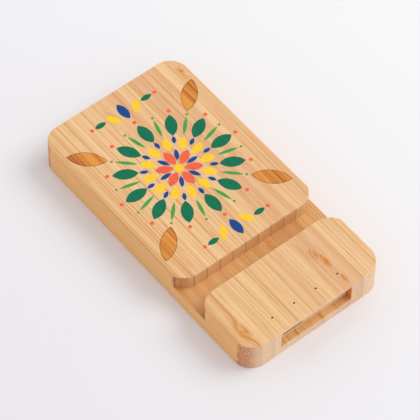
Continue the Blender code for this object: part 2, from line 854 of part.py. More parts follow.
def make_materials():
    return {
        "bamboo": make_material("bamboo", (0.66, 0.40, 0.20), 0.55),
        "cover_bamboo": make_material("cover_bamboo", (0.60, 0.36, 0.18), 0.60),
        "zinc_steel": make_material("zinc_steel", (0.62, 0.62, 0.64), 0.32, 1.0),
        "pouch_foil": make_material("pouch_foil", (0.58, 0.60, 0.63), 0.38, 0.9),
        "green_laminate": make_material("green_laminate", (0.02, 0.16, 0.06), 0.45),
        "black_laminate": make_material("black_laminate", (0.02, 0.02, 0.022), 0.45),
        "chip_plastic": make_material("chip_plastic", (0.015, 0.015, 0.016), 0.55),
        "nickel": make_material("nickel", (0.55, 0.53, 0.48), 0.28, 1.0),
        "foam": make_material("foam", (0.03, 0.03, 0.032), 0.90),
        "tape": make_material("tape", (0.75, 0.74, 0.70), 0.70),
        "red_insulation": make_material("red_insulation", (0.50, 0.01, 0.01), 0.45),
        "black_insulation": make_material("black_insulation", (0.015, 0.015, 0.015), 0.45),
        "tinned_steel": make_material("tinned_steel", (0.60, 0.60, 0.60), 0.30, 1.0),
        "socket_plastic": make_material("socket_plastic", (0.012, 0.012, 0.013), 0.50),
        "ferrite": make_material("ferrite", (0.05, 0.05, 0.055), 0.50),
        "ceramic": make_material("ceramic", (0.35, 0.22, 0.12), 0.45),
        "led_resin": make_material("led_resin", (0.75, 0.74, 0.62), 0.25),
        "plunger_plastic": make_material("plunger_plastic", (0.60, 0.58, 0.54), 0.45),
        "cap_plastic": make_material("cap_plastic", (0.62, 0.40, 0.22), 0.50),
    }


def main():
    clear_scene()
    pieces = make_collection("power_bank_phone_stand")
    tools = make_collection("cutters")
    stand = add_empty("stand_frame", (0, 0, 0), pieces)
    button_slide = add_empty("button_slide", (0, button_front_y, button_z), pieces)
    button_slide.parent = stand
    fixed = [
        ("bamboo", [bamboo_body(pieces, tools)]),
        ("cover_bamboo", [bottom_cover(pieces, tools)]),
        ("zinc_steel", cover_screws(pieces) + board_screws(pieces)),
        ("pouch_foil", [battery_cell(pieces, tools)]),
        ("green_laminate", [cell_protection_board(pieces)]),
        ("chip_plastic", protection_chips(pieces) + [charge_controller(pieces, tools)] + resistors(pieces)),
        ("nickel", cell_tabs(pieces)),
        ("foam", [cell_foam_pad(pieces)]),
        ("tape", mounting_tapes(pieces)),
        ("red_insulation", [lead("lead_red", -1, pieces)]),
        ("black_insulation", [lead("lead_black", 1, pieces)]),
        ("black_laminate", [main_board(pieces, tools)]),
        ("tinned_steel", [usb_c_shell(pieces), micro_usb_shell(pieces)]),
        ("socket_plastic", [usb_c_tongue(pieces, tools), micro_usb_tongue(pieces, tools),
                            switch_housing(pieces, tools)]),
        ("ferrite", [power_inductor(pieces, tools)]),
        ("ceramic", capacitors(pieces)),
        ("led_resin", charge_leds(pieces)),
    ]
    moving = [
        ("cap_plastic", [button_cap(pieces, tools)]),
        ("plunger_plastic", [switch_plunger(pieces)]),
    ]
    materials = make_materials()
    for parent, groups in ((stand, fixed), (button_slide, moving)):
        for name, found in groups:
            for piece in found:
                finish(piece, materials[name], parent)


main()
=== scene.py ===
# %% [markdown]
# # A bamboo power bank that is also a phone stand
# The real thing is one block of laminated bamboo, 130 mm long. A slot is milled across its top for
# a phone, a recess in its front end holds two charging sockets and a push button, and a battery and
# a circuit board are closed in from below by a thin cover. Its top carries a printed pattern.
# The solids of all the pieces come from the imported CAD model. They are loaded first, and then each
# piece that shows is remodelled with its fine edges, and every piece is given a real finish.

# %% Load the CAD frame
import math

import bmesh
import bpy
from mathutils import Matrix, Vector


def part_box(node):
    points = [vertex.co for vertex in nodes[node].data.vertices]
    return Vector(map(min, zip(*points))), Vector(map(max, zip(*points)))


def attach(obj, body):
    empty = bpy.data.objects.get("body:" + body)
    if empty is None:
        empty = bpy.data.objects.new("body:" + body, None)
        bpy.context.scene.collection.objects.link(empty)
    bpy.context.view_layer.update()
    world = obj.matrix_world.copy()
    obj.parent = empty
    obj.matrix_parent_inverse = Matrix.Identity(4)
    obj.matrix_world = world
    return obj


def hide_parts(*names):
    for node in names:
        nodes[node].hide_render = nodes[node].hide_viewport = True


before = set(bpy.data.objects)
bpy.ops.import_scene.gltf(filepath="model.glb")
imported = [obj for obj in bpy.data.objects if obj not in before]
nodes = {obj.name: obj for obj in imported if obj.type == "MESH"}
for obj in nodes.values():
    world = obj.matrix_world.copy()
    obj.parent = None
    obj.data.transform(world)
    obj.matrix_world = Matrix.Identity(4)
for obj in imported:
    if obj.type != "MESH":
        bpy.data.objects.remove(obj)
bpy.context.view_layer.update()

# %% [markdown]
# Sizes and places come from the CAD solids wherever a fine piece has to land exactly on one. They
# are read here in millimetres, in which such a piece is drawn.

# %% Sizes from the CAD solids
mm = 0.001


def corners_of(name):
    """A CAD node's low and high corners in millimetres."""
    return [[round(v / mm, 3) for v in corner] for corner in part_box(name)]


block_low, block_high = corners_of("bamboo_body")
front_y, top_z = block_low[1], block_high[2]
print("the block in millimetres:", block_low, block_high)

# The slot for the phone runs across the top, and its ends flare outwards on arcs
slot_front, slot_rear, slot_floor, slot_flare = -33.8, -24.5, 7.1, 9.0
# The recess for the plugs is cut into the front end
recess_half_width, recess_floor, recess_roof, recess_back = 17.4, 4.15, 12.55, -62.1
print("slot in mm:", round(slot_rear - slot_front, 2), "wide,", round(top_z - slot_floor, 2), "deep")

# %% [markdown]
# ## The camera
# The photograph was taken from above the block's front left, from about 1.1 m away with a long
# lens, so its parallel edges hardly converge. The camera is placed by its azimuth, elevation, small
# roll and distance, which reads better than a matrix of nine numbers.

# %% Place the camera
azimuth, elevation, roll = (math.radians(angle) for angle in (-39.83, 54.57, 1.13))
distance = 1.1156
focal_length = 244.97

away = Vector((math.sin(azimuth) * math.cos(elevation), -math.cos(azimuth) * math.cos(elevation),
               math.sin(elevation)))
level_right = Vector((math.cos(azimuth), math.sin(azimuth), 0))
level_up = away.cross(level_right)
right = level_right * math.cos(roll) + level_up * math.sin(roll)
up = level_up * math.cos(roll) - level_right * math.sin(roll)

camera_data = bpy.data.cameras.new("camera")
camera_data.lens = focal_length
camera_data.sensor_width = 36
camera_data.clip_start, camera_data.clip_end = 0.05, 20
camera = bpy.data.objects.new("camera", camera_data)
bpy.context.collection.objects.link(camera)
# The picture's middle lies a little to the right of the block's and below it
aside, below = 0.236 * mm, 0.189 * mm
aim = Vector((0, 0, top_z / 2 * mm)) + right * aside - up * below
turn = Matrix((right, up, away)).transposed().to_4x4()
camera.matrix_world = Matrix.Translation(aim + away * distance) @ turn
bpy.context.scene.camera = camera
print("camera at", [round(v, 3) for v in camera.location])

# %% [markdown]
# ## Colours and shader nodes
# Colours are easiest to pick as sRGB hex values, but Blender's shaders work with linear light, so
# one function converts them. A second small function adds a shader node, sets it up and links its
# inputs, which keeps the recipes below short.

# %% Two helpers for materials
def colour(code):
    """The linear colour with full alpha of an sRGB hex value."""
    parts = [int(code[i:i + 2], 16) / 255 for i in (1, 3, 5)]
    return [p / 12.92 if p <= 0.04045 else ((p + 0.055) / 1.055) ** 2.4 for p in parts] + [1.0]


def add(material, kind, links={}, **settings):
    """Adds a shader node. Each entry of links sets an input, by name or number, to a value or a node."""
    made = material.node_tree.nodes.new("ShaderNode" + kind)
    for name, value in settings.items():
        setattr(made, name, value)
    for key, value in links.items():
        socket = made.inputs[key] if isinstance(key, int) else next(
            s for s in made.inputs if s.name == key and s.enabled)
        if isinstance(value, bpy.types.Node):
            value = next(s for s in value.outputs if s.enabled)
        if isinstance(value, bpy.types.NodeSocket):
            material.node_tree.links.new(value, socket)
        else:
            socket.default_value = value
    return made


def new_material(name):
    """An empty material, and the place in Object coordinates at which its patterns are read."""
    material = bpy.data.materials.new(name)
    material.use_nodes = True
    material.node_tree.nodes.clear()
    return material, add(material, "TexCoord").outputs["Object"]


def shade(material, links):
    """Ends a material's recipe: one surface shader with these inputs."""
    shader = add(material, "BsdfPrincipled", links)
    add(material, "OutputMaterial", {"Surface": shader})
    return material


print("bamboo's pale ground in linear light:", [round(v, 3) for v in colour("#f4cf9a")])

# %% [markdown]
# ## Patterns at real size
# Most surfaces vary a little: wood has fibres, moulded plastic has a spark-eroded grain, plated
# metal has faint clouds. Noise stands for all of these when its lumps have the real size. The first
# function makes noise whose lumps are so many millimetres long along X, Y and Z. The second lays
# colours over a ground as a painter lays glazes, each where its pattern is.

# %% Noise measured in millimetres, and layers of colour
def lumps(material, place, sizes, detail=2.0, roughness=0.5):
    """Noise with lumps of these sizes in millimetres, read at a place given in metres."""
    spread = add(material, "Mapping", {"Vector": place, "Scale": [1000 / size for size in sizes]})
    return add(material, "TexNoise", {"Vector": spread, "Scale": 1.0, "Detail": detail,
                                      "Roughness": roughness})


def lay(material, ground, *layers, how="MIX"):
    """Lays colours over a ground in turn. A layer is its share from 0 to 1 and its hex colour."""
    for share, code in layers:
        ground = add(material, "Mix", {"Factor": share, "A": ground, "B": colour(code)}, data_type="RGBA",
                     blend_type=how)
    return ground


print("noise with lumps of 0.5 mm has a scale of", 1000 / 0.5)

# %% [markdown]
# ## The finish of planed bamboo
# Bamboo lumber is made of split culm strips that are planed, stood on edge and glued side by side.
# On the top face that gives strips 6.3 mm wide, each with its own tone, a dark hairline of glue
# between them, and fibre bundles that run along the block as fine darker streaks. Each strip may
# hold a node of the culm, where the fibres swerve and darken. On the end grain the same bundles are
# cut across and show as reddish dots on a pinker ground.
#
# One recipe does all of it in three dimensions, from Object coordinates, so that a streak on the
# top carries on down the slot's wall, as in solid wood: noise that is short across the fibres and
# long along them, shifted from strip to strip. It is planed and sealed with a thin oil, so it has a
# satin sheen and hardly any relief.

# %% Strips and the joints between them
strip_width = 6.3
first_joint = -1.8


def read_strips(wood, x, shift):
    """Where a point lies in the row of strips, its strip's number, its place within that, and the joints."""
    along = add(wood, "Math", {0: x, 1: 1000 / strip_width, 2: -(first_joint + shift) / strip_width},
                operation="MULTIPLY_ADD")
    number = add(wood, "Math", {0: along}, operation="FLOOR")
    within = add(wood, "Math", {0: along}, operation="FRACT")
    from_middle = add(wood, "Math", {0: within, 1: 0.5}, operation="SUBTRACT")
    from_middle = add(wood, "Math", {0: from_middle}, operation="ABSOLUTE")
    joint = add(wood, "MapRange", {"Value": from_middle, "From Min": 0.472, "From Max": 0.492},
                interpolation_type="SMOOTHSTEP")
    return along, number, within, joint


print("strips across the block:", round((block_high[0] - block_low[0]) / strip_width, 1))

# %% [markdown]
# A culm node is where a leaf grew. The fibres swerve round it, fray and take on a darker orange, so
# one pattern is used twice: to push the place at which fibres are read aside, and as a glaze.

# %% Culm nodes and the place where fibres are read
# Where a culm node lies on the top: x, y, half width, half length in mm, and how dark it is
culm_nodes = [
    (14.6, -45.2, 2.6, 4.6, 0.5), (16.3, -50.2, 1.6, 5.0, 1.0), (17.0, -60.8, 1.2, 3.6, 0.6),
    (-29.3, -55.5, 3.8, 8.5, 0.4), (-24.0, 22.0, 2.8, 6.5, 0.15), (-4.5, 57.0, 2.8, 5.0, 0.2),
    (30.5, 55.0, 2.2, 5.5, 0.45), (7.6, -28.0, 2.4, 6.0, 0.3), (20.5, 8.0, 2.4, 6.5, 0.12),
]


def culm_node_share(material, place, weighted):
    """1 in the middle of a culm node, falling to 0 at its rim, times its darkness if weighted."""
    total = 0.0
    for x, y, half_width, half_length, darkness in culm_nodes:
        local = add(material, "Mapping", {"Vector": place, "Location": (-x / half_width, -y / half_length, 0),
                                          "Scale": (1000 / half_width, 1000 / half_length, 0)})
        reach = add(material, "VectorMath", {0: local}, operation="LENGTH")
        share = add(material, "MapRange", {"Value": reach.outputs["Value"], "From Min": 1.0, "From Max": 0.0,
                                           "To Max": darkness if weighted else 1.0},
                    interpolation_type="SMOOTHSTEP")
        total = add(material, "Math", {0: total, 1: share}, operation="MAXIMUM")
    return total


def fibres_at(wood, place, number, with_nodes):
    """The place at which a point's fibres are read. Each strip has its own, and a node pushes it aside."""
    jump = add(wood, "Math", {0: number, 1: 0.173}, operation="MULTIPLY")
    moves = [add(wood, "CombineXYZ", {"Y": jump})]
    if with_nodes:
        wander = lumps(wood, place, (1.4, 3.0, 1.4), 4.0, 0.7)
        bulge = add(wood, "Math", {0: culm_node_share(wood, place, False), 1: wander}, operation="MULTIPLY")
        bulge = add(wood, "Math", {0: bulge, 1: 4 * mm}, operation="MULTIPLY")
        moves.append(add(wood, "CombineXYZ", {"X": bulge}))
    for move in moves:
        place = add(wood, "VectorMath", {0: place, 1: move}, operation="ADD")
    return place


print("culm nodes:", len(culm_nodes))

# %% [markdown]
# Along the fibres the ground runs from cream to tan with the fibre bundles, and from strip to
# strip. Some strips are pinker. Over that lie short brown dashes and a few long amber veins, which
# are the bundles that the plane has cut open.

# %% The colour along the fibres
def long_grain(wood, fibre_place, fine, luck, within):
    """The colour of a planed face along the fibres, and its tone from 0, pale, to 1, dark."""
    # Fibre bundles are 0.3 to 0.6 mm thick and many centimetres long
    medium = lumps(wood, fibre_place, (1.3, 120, 1.3), 2.0)
    broad = lumps(wood, fibre_place, (4.5, 160, 4.5), 1.0)
    veins = lumps(wood, fibre_place, (0.5, 150, 0.5), 1.0)
    dashes = lumps(wood, fibre_place, (0.36, 14, 0.36), 1.0)

    # A strip is darker towards the side that was next to the culm's skin
    total = 0.0
    for part, weight in ((medium, 0.55), (fine, 1.45), (broad, 0.45), (luck.outputs["Value"], 0.45),
                         (within, 0.25)):
        total = add(wood, "Math", {0: part, 1: weight, 2: total}, operation="MULTIPLY_ADD")
    tone = add(wood, "MapRange", {"Value": total, "From Min": 0.95, "From Max": 2.25})

    chance = add(wood, "SeparateColor", {0: luck.outputs["Color"]}).outputs[0]
    pink = add(wood, "MapRange", {"Value": chance, "From Min": 0.4, "To Max": 0.38})
    dash = add(wood, "MapRange", {"Value": dashes, "From Min": 0.58, "From Max": 0.7, "To Max": 0.35},
               interpolation_type="SMOOTHSTEP")
    vein = add(wood, "MapRange", {"Value": veins, "From Min": 0.6, "From Max": 0.67, "To Max": 0.7},
               interpolation_type="SMOOTHSTEP")
    face = lay(wood, colour("#f4cf9a"), (tone, "#d3945c"), (pink, "#e5b692"), (dash, "#b5763f"),
               (vein, "#cf8a3c"))
    return face, tone


def left_shade_sides_and_glue(wood, face, x, sideways, along, joint):
    """Paints shade towards and on the left side, and lays the long sides' own colour and the glue lines over
    a face.
    """
    # Painted shade: the top darkens over its last 3 mm before the left edge, and the left side face with it,
    # which face away from the lamp
    left_side_shade = add(wood, "MapRange", {"Value": x, "From Min": -30.8 * mm, "From Max": -32.6 * mm},
               interpolation_type="SMOOTHSTEP")
    face = lay(wood, face, (left_side_shade, "#f4ede1"), how="MULTIPLY")

    # A strip's wide side shows on the block's long sides: the skin of the culm, plainer and yellower
    side = add(wood, "MapRange", {"Value": sideways, "From Min": 0.5, "From Max": 0.9, "To Max": 0.55},
               interpolation_type="SMOOTHSTEP")

    # Each joint's glue line is as dark as chance will have it
    joint_number = add(wood, "Math", {0: along, 1: 0.5}, operation="ADD")
    joint_number = add(wood, "Math", {0: joint_number}, operation="FLOOR")
    chance = add(wood, "TexWhiteNoise", {"W": joint_number}, noise_dimensions="1D").outputs["Value"]
    glue = add(wood, "Math", {0: joint, 1: chance}, operation="MULTIPLY")
    glue = add(wood, "MapRange", {"Value": glue, "From Min": 0.45, "From Max": 0.95, "To Max": 0.9})
    return lay(wood, face, (side, "#fcbf73"), (glue, "#b56f35"))


def node_glaze(wood, face, place, fibre_place):
    """Lays the frayed orange of the culm nodes over a face."""
    dark = add(wood, "MapRange", {"Value": culm_node_share(wood, place, True), "From Max": 0.4})
    strokes = lumps(wood, fibre_place, (0.45, 4.0, 0.45), 2.0, 0.7)
    frayed = add(wood, "MapRange", {"Value": strokes, "From Min": 0.42, "From Max": 0.56, "To Min": 0.12})
    dark = add(wood, "Math", {0: dark, 1: frayed}, operation="MULTIPLY")
    return lay(wood, face, (dark, "#cf7f22"))


print("fine bundles across a strip:", round(strip_width / 0.42))

# %% [markdown]
# On the end grain the bundles are cut across as round dots, which are crowded only where the strip
# was next to the culm's skin. In the slot and in the recess the glue lines are burnished dark, and
# the faces there are painted a little browner as shade, most in the slot's front corner as painted shadow.

# %% The end grain, and painted shade in the slot and the recess
def between(material, value, low, high):
    """1 where the value lies between low and high, and 0 elsewhere."""
    above = add(material, "Math", {0: value, 1: low}, operation="GREATER_THAN")
    below = add(material, "Math", {0: value, 1: high}, operation="LESS_THAN")
    return add(material, "Math", {0: above, 1: below}, operation="MULTIPLY")


def end_grain(wood, x, fibre_place, tone, joint, in_slot):
    """The colour of a face across the fibres."""
    cells = add(wood, "Mapping", {"Vector": fibre_place, "Scale": (2800, 20, 2800)})
    dots = add(wood, "TexVoronoi", {"Vector": cells, "Scale": 1.0})
    dots = add(wood, "MapRange", {"Value": dots.outputs["Distance"], "From Min": 0.5, "From Max": 0.3},
               interpolation_type="SMOOTHSTEP")
    crowding = add(wood, "MapRange", {"Value": x, "From Min": -28.5 * mm, "From Max": -31.8 * mm})
    dense = add(wood, "MapRange", {"Value": crowding, "To Max": 0.7})
    some = add(wood, "MapRange", {"Value": crowding, "To Min": 0.2})
    dots = add(wood, "Math", {0: dots, 1: some}, operation="MULTIPLY")
    burnish = add(wood, "MapRange", {"Value": in_slot, "To Min": 0.25})
    glue = add(wood, "Math", {0: joint, 1: burnish}, operation="MULTIPLY")
    return lay(wood, colour("#f7d8b6"), (tone, "#dfab81"), (dense, "#d38c58"), (dots, "#9f4a21"),
               (glue, "#965a32"))


def painted_hollow_shade(wood, surface, x, y, z, sideways, in_slot):
    """Darkens the faces in the slot and the recess with painted shade, most in the slot's front corner as
    painted shadow.
    """
    low = between(wood, z, (recess_floor - 0.05) * mm, (top_z - 0.4) * mm)
    at_front = between(wood, y, (front_y + 0.15) * mm, (recess_back + 1.6) * mm)
    wide = (recess_half_width + 0.1) * mm
    in_recess = add(wood, "Math", {0: at_front, 1: between(wood, x, -wide, wide)}, operation="MULTIPLY")
    recess_side = add(wood, "Math", {0: in_recess, 1: between(wood, sideways, 0.5, 2)}, operation="MULTIPLY")
    # Painted shadow: the front part's shadow falls on the slot's front corner
    slot_corner_shadow = add(wood, "MapRange", {"Value": y, "From Min": -35.5 * mm, "From Max": -42.8 * mm,
                                         "To Max": in_slot})
    # Painted shade: these tints multiply the slot, the recess, the recess's side walls and the slot's front
    # corner darker
    for part, tint in ((in_slot, "#f6ead0"), (in_recess, "#fffae6"), (recess_side, "#e7cecb"),
                       (slot_corner_shadow, "#b37a62")):
        share = add(wood, "Math", {0: part, 1: low}, operation="MULTIPLY")
        surface = lay(wood, surface, (share, tint), how="MULTIPLY")
    return surface


print("end grain: one dot to every", round(1000 / 2800, 2), "mm")

# %% [markdown]
# The parts come together here. A face counts as end grain by its normal, so the round corners turn
# from one to the other, and the sanded top edges keep the top's colour. Pores and fibres leave a
# relief of a few hundredths of a millimetre under the oil. The cover is a thinner board of the same
# lumber, without nodes, whose joints lie elsewhere.

# %% Bamboo for the block and for the cover
def bamboo(name, shift=0.0, with_nodes=True):
    """Planed and oiled laminated bamboo. shift moves the joints between strips sideways, in mm."""
    wood, place = new_material(name)
    x, y, z = add(wood, "SeparateXYZ", {0: place}).outputs
    normal_x, normal_y, normal_z = add(wood, "SeparateXYZ", {0: place.node.outputs["Normal"]}).outputs
    sideways = add(wood, "Math", {0: normal_x}, operation="ABSOLUTE")
    along, number, within, joint = read_strips(wood, x, shift)
    luck = add(wood, "TexWhiteNoise", {"W": number}, noise_dimensions="1D")
    fibre_place = fibres_at(wood, place, number, with_nodes)
    fine = lumps(wood, fibre_place, (0.42, 60, 0.42), 2.0, 0.6)

    face, tone = long_grain(wood, fibre_place, fine, luck, within)
    # Painted shade towards and on the left side, then the sides' own colour and the glue lines
    face = left_shade_sides_and_glue(wood, face, x, sideways, along, joint)
    if with_nodes:
        face = node_glaze(wood, face, place, fibre_place)

    slot_reach = between(wood, y, (slot_front - slot_flare - 0.1) * mm, (slot_rear + slot_flare + 0.1) * mm)
    in_slot = add(wood, "Math", {0: slot_reach, 1: between(wood, sideways, -1, 0.97)}, operation="MULTIPLY")
    end_face = end_grain(wood, x, fibre_place, tone, joint, in_slot)
    across = add(wood, "Math", {0: normal_y}, operation="ABSOLUTE")
    end = add(wood, "MapRange", {"Value": across, "From Min": 0.08, "From Max": 0.3},
              interpolation_type="SMOOTHSTEP")
    upright = add(wood, "MapRange", {"Value": normal_z, "From Min": 0.75, "From Max": 0.25},
                  interpolation_type="SMOOTHSTEP")
    end = add(wood, "Math", {0: end, 1: upright}, operation="MULTIPLY")
    surface = add(wood, "Mix", {"Factor": end, "A": face, "B": end_face}, data_type="RGBA")
    # Painted shade in the slot and the recess
    surface = painted_hollow_shade(wood, surface, x, y, z, sideways, in_slot)

    return shade(wood, {
        "Base Color": surface, "IOR": 1.5, "Specular IOR Level": 0.35,
        "Roughness": add(wood, "MapRange", {"Value": fine, "To Min": 0.42, "To Max": 0.62}),
        "Normal": add(wood, "Bump", {"Strength": 0.5, "Distance": 0.06 * mm, "Height": fine})})


planed_bamboo = bamboo("planed_oiled_bamboo")
cover_bamboo = bamboo("sanded_bamboo_cover", 2.3, with_nodes=False)
print("bamboo's recipe has", len(planed_bamboo.node_tree.nodes), "nodes")

# %% [markdown]
# The pinholes over the charge lights are burnt through with a laser, which leaves their walls
# charred. It is a dark brown, dull and a little crusty.

# %% Charred bamboo
charred, place = new_material("laser_charred_bamboo")
crust = lumps(charred, place, (0.12, 0.12, 0.12))
shade(charred, {"Base Color": lay(charred, colour("#1d120a"), (crust, "#3b2414")), "Roughness": 0.9,
                "Normal": add(charred, "Bump", {"Strength": 0.4, "Distance": 0.03 * mm, "Height": crust})})
print("charred:", charred.name)

# %% [markdown]
# ## Modelling helpers
# Every new piece starts from a primitive of the right size in the right place, and is then shaped
# in edit mode. The helpers take millimetres and turn them to metres. `choose` goes into edit mode
# with just those edges or faces selected that pass a test, as one would pick them by hand.

# %% Helpers that select, bevel and cut
def only(*things):
    """Selects just these objects and makes the first one active."""
    bpy.ops.object.select_all(action="DESELECT")
    for thing in things:
        thing.select_set(True)
    bpy.context.view_layer.objects.active = things[0]


def settle(piece):
    """Puts the piece's place and size into its mesh."""
    only(piece)
    bpy.ops.object.transform_apply()
    return piece


def add_box(name, low, high):
    """A box between these two corners."""
    bpy.ops.object.select_all(action="DESELECT")
    bpy.ops.mesh.primitive_cube_add(size=1, location=[(a + b) / 2 * mm for a, b in zip(low, high)])
    box = bpy.context.object
    box.name = name
    box.scale = [(b - a) * mm for a, b in zip(low, high)]
    return settle(box)


def add_cylinder(name, radius, low, height, sides=32):
    """An upright cylinder that stands on the point low."""
    bpy.ops.object.select_all(action="DESELECT")
    bpy.ops.mesh.primitive_cylinder_add(vertices=sides, radius=radius * mm, depth=height * mm,
                                        location=(low[0] * mm, low[1] * mm, (low[2] + height / 2) * mm))
    bpy.context.object.name = name
    return settle(bpy.context.object)


def choose(piece, kind, test):
    """Goes into edit mode with the vertices, edges or faces selected that pass the test."""
    only(piece)
    bpy.ops.object.mode_set(mode="EDIT")
    bpy.ops.mesh.select_mode(type=kind)
    bpy.ops.mesh.select_all(action="DESELECT")
    mesh = bmesh.from_edit_mesh(piece.data)
    parts = {"VERT": mesh.verts, "EDGE": mesh.edges, "FACE": mesh.faces}[kind]
    found = [part for part in parts if test(part)]
    for part in found:
        part.select_set(True)
    bmesh.update_edit_mesh(piece.data)
    return len(found)


def leave():
    bpy.ops.object.mode_set(mode="OBJECT")


def bevel_edges(piece, test, width, segments):
    """Rounds the edges that pass the test."""
    count = choose(piece, "EDGE", test)
    bpy.ops.mesh.bevel(offset=width * mm, segments=segments, affect="EDGES")
    leave()
    return count


def runs_along(axis):
    """A test for edges that run along X, Y or Z, given as 0, 1 or 2."""
    return lambda edge: abs((edge.verts[0].co - edge.verts[1].co).normalized()[axis]) > 0.999


def is_outer_corner(edge):
    """True where two faces meet at a convex angle of more than 20 degrees."""
    return len(edge.link_faces) == 2 and edge.is_convex and edge.calc_face_angle() > math.radians(20)


def combine(piece, tool, operation="DIFFERENCE"):
    """Cuts the piece with a tool, or joins it on, and removes the tool."""
    only(piece)
    step = piece.modifiers.new("boolean", "BOOLEAN")
    step.object, step.operation, step.solver = tool, operation, "EXACT"
    bpy.ops.object.modifier_apply(modifier=step.name)
    bpy.data.objects.remove(tool)


def rounded_box(name, low, high, corner, axis=2, segments=6):
    """A box whose four edges along one axis are rounded, unless its corner is 0."""
    box = add_box(name, low, high)
    if corner:
        bevel_edges(box, runs_along(axis), corner, segments)
    return box


def smooth(piece, angle=32):
    """Smooth shading that keeps sharp edges, with flat faces left truly flat."""
    only(piece)
    bpy.ops.object.shade_smooth_by_angle(angle=math.radians(angle))
    step = piece.modifiers.new("normals", "WEIGHTED_NORMAL")
    step.keep_sharp = True
    bpy.ops.object.modifier_apply(modifier=step.name)


def fit(piece, finish, body, slot, *replaced):
    """Gives a finished piece its material and its body, and hides the CAD nodes it stands for. slot is not
    used.
    """
    if not piece.data.materials:
        piece.data.materials.append(finish)
    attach(piece, body)
    if replaced:
        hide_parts(*replaced)
    print(piece.name, "has", len(piece.data.polygons), "faces")


print("helpers ready")

# %% [markdown]
# Holes, screws and printed shapes repeat. Each is modelled once, upright at the origin, and copied
# to its spots. A spot is a place in X and Y and an angle. Every copy has its own mesh, because a
# finished piece keeps its place in its mesh.

# %% Helpers that copy and drill
def spots_of(*names):
    """The middles of CAD nodes in X and Y, in millimetres, with an angle of 0."""
    boxes = [corners_of(name) for name in names]
    return [((low[0] + high[0]) / 2, (low[1] + high[1]) / 2, 0) for low, high in boxes]


def copies(first, spots):
    """Copies of an upright piece, each turned by its spot's angle in degrees and moved there."""
    made = []
    for i, (x, y, angle) in enumerate(spots):
        mesh = first.data.copy()
        turn = Matrix.Rotation(math.radians(angle), 4, "Z")
        mesh.transform(Matrix.Translation((x * mm, y * mm, 0)) @ turn)
        made.append(bpy.data.objects.new(f"{first.name}_{i + 1}", mesh))
        bpy.context.collection.objects.link(made[-1])
    bpy.data.objects.remove(first)
    return made


def drill(piece, tool, spots):
    """Cuts an upright tool out of the piece at each spot."""
    for cutter in copies(tool, spots):
        combine(piece, cutter)


cover_screws = [f"cover_screw_{row}_{side}" for row in ("front", "middle", "rear")
                for side in ("left", "right")]
board_screws = ["board_screw_left", "board_screw_right"]
light_spots = spots_of(*[f"charge_led_{i + 1}" for i in range(4)])
cover_screw_spots, board_screw_spots = spots_of(*cover_screws), spots_of(*board_screws)
print("lights at", light_spots)

# %% [markdown]
# ## The bamboo block
# A real block is cut to size, its corners are rounded on a router, the slot is milled across it
# with a cutter that follows a curve at both ends, and then every outer edge is broken with
# sandpaper. The model goes the same way. The slot's cutter is a band across the block, less the two
# raised parts beside it, so their corners come out as the arcs that turn away from the phone.
# Edges are rounded before the hollow is cut, so that the machined openings stay crisp.

# %% The block, its corners and its slot
block = rounded_box("bamboo_block", block_low, block_high, 8.2, segments=20)

# A cutter starts a little outside the block, and the raised parts' arcs end a little outside it
over, part_side = 1.0, block_high[0] + 0.8
band_low, band_high = slot_floor, top_z + over
band = add_box("band", (-part_side - over, slot_front - slot_flare, band_low),
               (part_side + over, slot_rear + slot_flare, band_high))
for front, rear in ((front_y - over, slot_front), (slot_rear, block_high[1] + over)):
    combine(band, rounded_box("raised_part", (-part_side, front, band_low - over),
                              (part_side, rear, band_high + over), slot_flare, segments=20))
combine(block, band)
print("outer edges rounded:", bevel_edges(block, is_outer_corner, 0.38, 4))

# %% [markdown]
# The hollow is milled from below: a shallow rebate for the cover, a pocket for the battery, a bay
# for the circuit board with a deeper part over its charge lights, and a channel for the leads. From
# the front comes the recess for the plugs, with a window for each socket and for the button. Four
# pinholes let the charge lights show through the top.

# %% The hollow
# What goes into the wood has a gap round it
gap, slot_wall, side_room, channel_height = 0.3, 3.8, 1.6, 2.4


def pocket(half_width, front, rear, roof, corner=0, segments=6):
    """A cutter that mills the block from below, up to a roof."""
    return rounded_box("pocket", (-half_width, front, -over), (half_width, rear, roof), corner,
                       segments=segments)


cover_low, cover_high = corners_of("bottom_cover")
board_low, board_high = corners_of("main_board")
cell_high, tape_high = corners_of("battery_cell")[1], corners_of("mounting_tape_left")[1]
rebate_roof, pocket_roof = cover_high[2] + gap, tape_high[2] + gap
bay_front, bay_rear, pocket_front = board_low[1] - gap, slot_front - slot_wall, slot_rear + slot_wall
hollow = [
    pocket(cover_high[0] + gap, cover_low[1] - gap, cover_high[1] + gap, rebate_roof, 5.0, 12),
    pocket(cell_high[0] + side_room, pocket_front, cell_high[1] + gap, pocket_roof, 3.0),
    pocket(board_high[0] + gap, bay_front, bay_rear, board_high[2] + gap, 1.0),
    pocket(light_spots[-1][0] + side_room, bay_front, bay_rear, recess_roof, 1.0),
    pocket(5.0, bay_rear - over, pocket_front + over, rebate_roof + channel_height),
]
for tool in hollow:
    combine(block, tool)
print("wood over the battery, in mm:", round(top_z - pocket_roof, 2))

# %% The recess, its windows and the holes
def outline_bar(name, low, high, reach, corner, front, rear, segments=8):
    """A bar along Y with a piece's outline in X and Z, reach wider all round, between two depths."""
    low, high = (low[0] - reach, front, low[2] - reach), (high[0] + reach, rear, high[2] + reach)
    return rounded_box(name, low, high, corner, axis=1, segments=segments)


